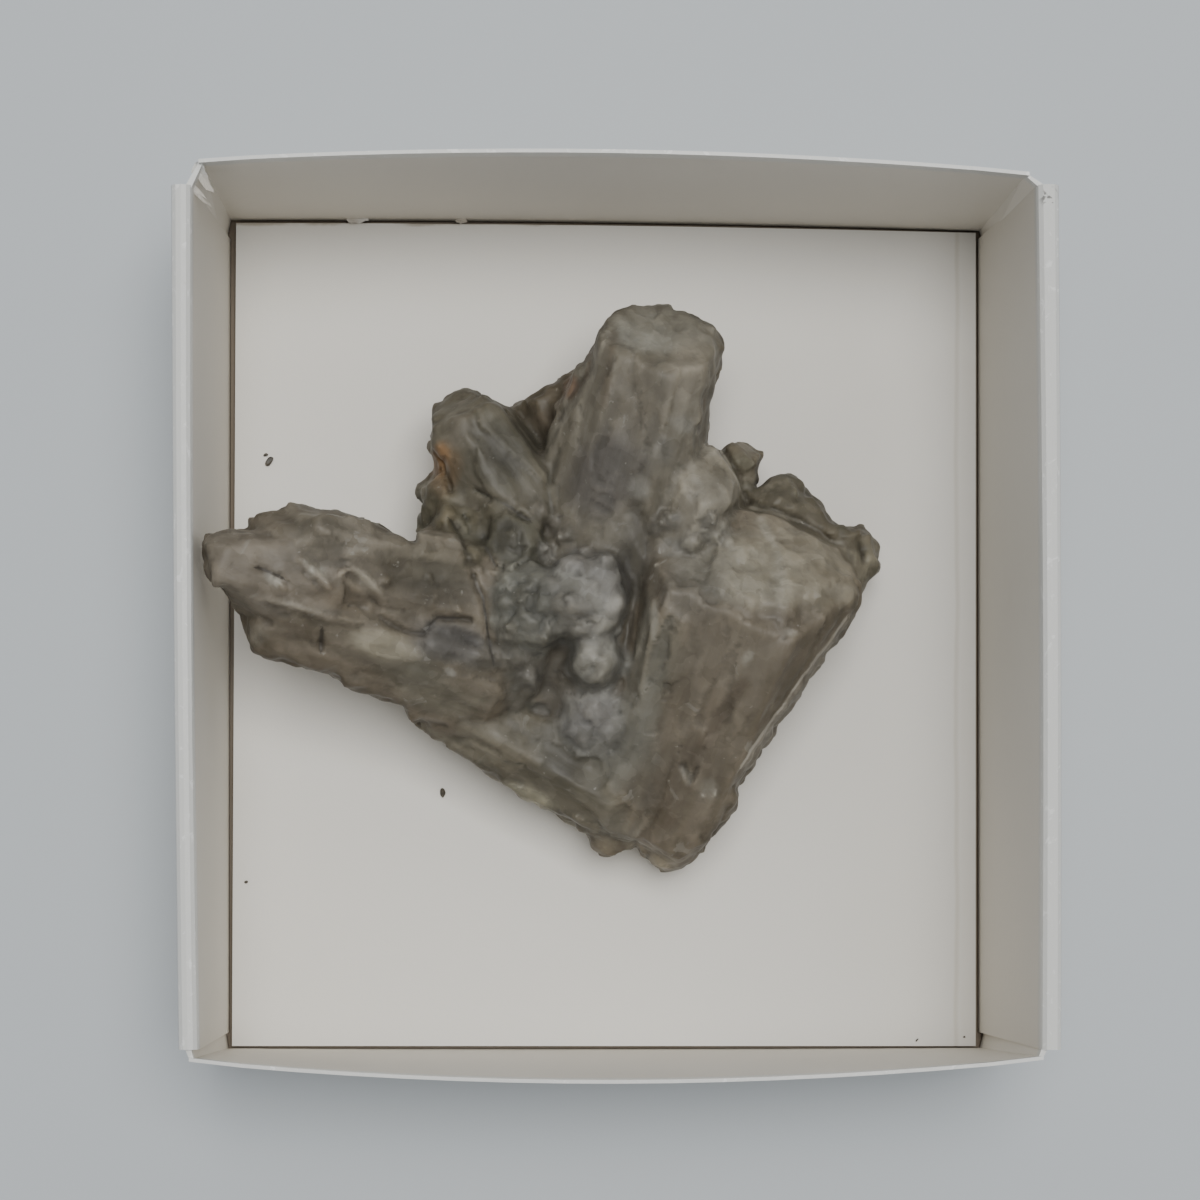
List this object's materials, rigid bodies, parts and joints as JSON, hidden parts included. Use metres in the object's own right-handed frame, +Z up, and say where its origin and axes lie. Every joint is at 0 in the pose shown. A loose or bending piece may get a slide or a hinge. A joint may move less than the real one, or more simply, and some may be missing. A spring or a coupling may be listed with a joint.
{
  "type": "aragonite crystal cluster in a card specimen tray",
  "caption": "Cluster of intergrown translucent grey-brown prismatic aragonite crystals resting in a small open folded-card tray.",
  "frame": {"origin": "under the middle of the tray, on the surface that it stands on", "axes": "+Z up; +Y along the tray's longer side, towards the back edge in the picture; +X to the right in the picture"},
  "size_m": [0.0389, 0.0411, 0.016],
  "materials": {
    "aragonite": "translucent grey-brown crystal, frosted and striated",
    "white_card": "white coated card, satin, slightly scuffed at the folds",
    "liner_card": "white card, satin"
  },
  "bodies": {
    "root": {"aragonite": "aragonite", "card_tray": "white_card", "floor_card": "liner_card"}
  },
  "joints": []
}
